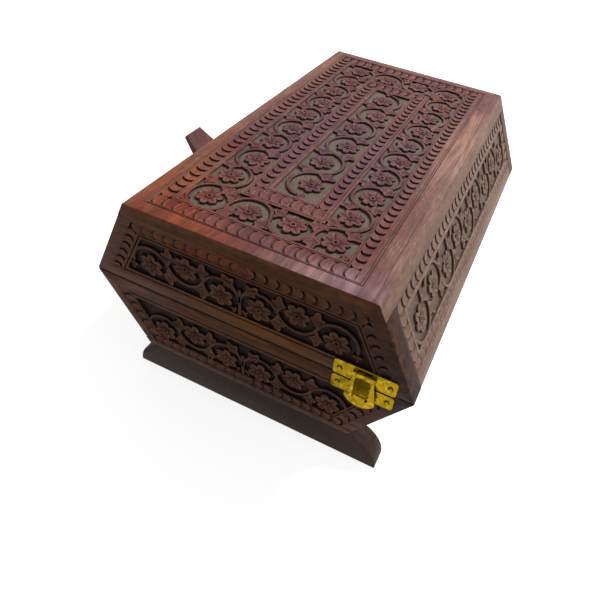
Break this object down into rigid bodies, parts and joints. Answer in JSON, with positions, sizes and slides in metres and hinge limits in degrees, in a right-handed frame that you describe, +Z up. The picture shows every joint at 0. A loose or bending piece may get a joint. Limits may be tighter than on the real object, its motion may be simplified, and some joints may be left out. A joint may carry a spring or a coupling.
{
  "type": "jewelry box",
  "caption": "Hexagonal carved wooden jewelry box with a side-hinged lid, bracket feet, velvet lining, a wooden lid stop and a sprung brass hasp.",
  "frame": {"origin": "on the ground, under the middle of the closed box's outer bounds, lid stop and hasp included", "axes": "+Z up; +Y along the box's length, away from the hasp; +X towards the lid's opening side, away from the hinges"},
  "size_m": [0.1736, 0.2098, 0.111],
  "materials": {
    "carved_wood": "dark stained and waxed",
    "dark_wood": "very dark stained",
    "top_wood": "reddish stained and waxed",
    "velvet": "short pile",
    "brass": "bright, lightly worn",
    "steel": "dull"
  },
  "bodies": {
    "base": {"base_front_end": "carved_wood", "base_rear_end": "carved_wood", "base_hinge_side": "carved_wood", "base_opening_side": "carved_wood", "bottom_board": "dark_wood", "base_floor_lining": "velvet", "base_wall_lining": "velvet", "front_foot": "dark_wood", "rear_foot": "dark_wood", "foot_screws": "steel", "lid_stop": "carved_wood", "lid_stop_screws": "steel", "base_hinge_leaves": "brass", "hinge_pins": "brass", "base_hinge_screws": "brass", "catch_plate": "brass", "catch_nails": "brass"},
    "lid": {"lid_front_end": "carved_wood", "lid_rear_end": "carved_wood", "lid_hinge_side": "carved_wood", "lid_opening_side": "carved_wood", "top_board_panel": "top_wood", "top_board_brads": "steel", "lid_top_lining": "velvet", "lid_wall_lining": "velvet", "lid_hinge_leaves": "brass", "lid_hinge_screws": "brass", "hasp_plate": "brass", "hasp_plate_nails": "brass", "hasp_pin": "brass"},
    "hasp": {"hasp": "brass"}
  },
  "joints": [
    {"name": "lid_hinge", "type": "hinge", "parent": "base", "child": "lid", "pos_m": [-0.06703, 0, 0.06743], "axis": [0, -1, 0], "range_deg": [0, 77]},
    {"name": "hasp_hinge", "type": "hinge", "parent": "lid", "child": "hasp", "pos_m": [0.06581, -0.10333, 0.0741], "axis": [-1, 0, 0], "range_deg": [0, 160]}
  ]
}
